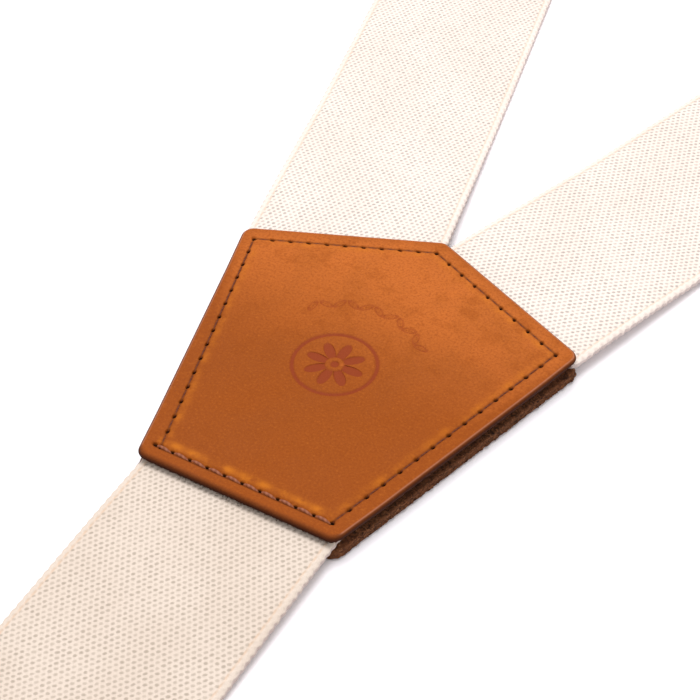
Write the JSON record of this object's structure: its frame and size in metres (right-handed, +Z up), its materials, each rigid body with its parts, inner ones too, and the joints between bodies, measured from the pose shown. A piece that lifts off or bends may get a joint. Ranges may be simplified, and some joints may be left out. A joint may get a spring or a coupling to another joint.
{
  "type": "suspenders",
  "caption": "Y-back suspenders: five-sided leather yoke, elastic webbing straps folded for storage, sliding lever adjusters and sprung toothed clips on swivelling bars.",
  "frame": {"origin": "middle of the leather patch on its underside", "axes": "+Y towards the front straps, +Z up out of the patch's front leather, +X to the right front strap"},
  "size_m": [0.255, 0.6539, 0.0194],
  "materials": {
    "patch_leather": "waxed nubuck, cognac",
    "patch_backing": "suede flesh side",
    "patch_thread": "waxed polyester thread",
    "strap_thread": "spun polyester thread",
    "elastic_webbing": "woven elastic, cream",
    "jaw_nylon": "moulded nylon",
    "spring_wire": "drawn spring steel",
    "nickel_plate": "nickel-plated pressed steel"
  },
  "bodies": {
    "root": {"front_leather": "patch_leather", "back_leather": "patch_backing", "front_stitching": "patch_thread", "back_stitching": "patch_thread", "left_strap": "elastic_webbing", "right_strap": "elastic_webbing", "back_strap": "elastic_webbing", "back_strap_stitching": "strap_thread"},
    "left_clip_slide": {"left_strap_tail": "elastic_webbing"},
    "left_adjuster": {"left_adjuster_frame": "nickel_plate", "left_adjuster_pin": "nickel_plate"},
    "left_adjuster_lever": {"left_adjuster_lever": "nickel_plate"},
    "left_clip": {"left_clip_frame": "nickel_plate", "left_clip_pin": "nickel_plate", "left_clip_spring": "spring_wire", "left_clip_lower_pad": "jaw_nylon"},
    "left_clip_lever": {"left_clip_lever": "nickel_plate", "left_clip_upper_pad": "jaw_nylon"},
    "right_clip_slide": {"right_strap_tail": "elastic_webbing"},
    "right_adjuster": {"right_adjuster_frame": "nickel_plate", "right_adjuster_pin": "nickel_plate"},
    "right_adjuster_lever": {"right_adjuster_lever": "nickel_plate"},
    "right_clip": {"right_clip_frame": "nickel_plate", "right_clip_pin": "nickel_plate", "right_clip_spring": "spring_wire", "right_clip_lower_pad": "jaw_nylon"},
    "right_clip_lever": {"right_clip_lever": "nickel_plate", "right_clip_upper_pad": "jaw_nylon"},
    "back_clip": {"back_clip_frame": "nickel_plate", "back_clip_pin": "nickel_plate", "back_clip_spring": "spring_wire", "back_clip_lower_pad": "jaw_nylon"},
    "back_clip_lever": {"back_clip_lever": "nickel_plate", "back_clip_upper_pad": "jaw_nylon"}
  },
  "joints": [
    {"name": "left_strap_length", "type": "slide", "parent": "root", "child": "left_clip_slide", "axis": [0.2284, -0.9736, 0], "range_m": [-0.03, 0.05], "deforming": ["left_strap"]},
    {"name": "left_adjuster_slide", "type": "slide", "parent": "left_clip_slide", "child": "left_adjuster", "axis": [0.2284, -0.9736, 0], "range_m": [-0.03, 0.05], "deforming": ["left_strap_tail"]},
    {"name": "left_adjuster_lever_flip", "type": "hinge", "parent": "left_adjuster", "child": "left_adjuster_lever", "pos_m": [-0.0691, 0.25258, 0.01215], "axis": [0.9736, 0.2284, 0], "range_deg": [0, 80]},
    {"name": "left_clip_swivel", "type": "hinge", "parent": "left_clip_slide", "child": "left_clip", "pos_m": [-0.0844, 0.31781, 0.00705], "axis": [0.9736, 0.2284, 0], "range_deg": [0, 85]},
    {"name": "left_clip_pinch", "type": "hinge", "parent": "left_clip", "child": "left_clip_lever", "pos_m": [-0.09011, 0.34215, 0.01065], "axis": [0.9736, 0.2284, 0], "range_deg": [0, 22], "stiffness_Nm_per_rad": 0.15, "springref_deg": -28.65, "deforming": ["left_clip_spring"]},
    {"name": "right_strap_length", "type": "slide", "parent": "root", "child": "right_clip_slide", "axis": [-0.2807, -0.9598, 0], "range_m": [-0.03, 0.05], "deforming": ["right_strap"]},
    {"name": "right_adjuster_slide", "type": "slide", "parent": "right_clip_slide", "child": "right_adjuster", "axis": [-0.2807, -0.9598, 0], "range_m": [-0.03, 0.05], "deforming": ["right_strap_tail"]},
    {"name": "right_adjuster_lever_flip", "type": "hinge", "parent": "right_adjuster", "child": "right_adjuster_lever", "pos_m": [0.08079, 0.24852, 0.01215], "axis": [0.9598, -0.2807, 0], "range_deg": [0, 80]},
    {"name": "right_clip_swivel", "type": "hinge", "parent": "right_clip_slide", "child": "right_clip", "pos_m": [0.09959, 0.31283, 0.00705], "axis": [0.9598, -0.2807, 0], "range_deg": [0, 85]},
    {"name": "right_clip_pinch", "type": "hinge", "parent": "right_clip", "child": "right_clip_lever", "pos_m": [0.10661, 0.33683, 0.01065], "axis": [0.9598, -0.2807, 0], "range_deg": [0, 22], "stiffness_Nm_per_rad": 0.15, "springref_deg": -28.65, "deforming": ["right_clip_spring"]},
    {"name": "back_clip_swivel", "type": "hinge", "parent": "root", "child": "back_clip", "pos_m": [0, -0.219, 0.00265], "axis": [-1, 0, 0], "range_deg": [0, 85]},
    {"name": "back_clip_pinch", "type": "hinge", "parent": "back_clip", "child": "back_clip_lever", "pos_m": [0, -0.244, 0.00625], "axis": [-1, 0, 0], "range_deg": [0, 22], "stiffness_Nm_per_rad": 0.15, "springref_deg": -28.65, "deforming": ["back_clip_spring"]}
  ],
  "couplings": [
    {"joint": "left_adjuster_slide", "follows": "left_strap_length", "ratio": 1},
    {"joint": "right_adjuster_slide", "follows": "right_strap_length", "ratio": 1}
  ]
}
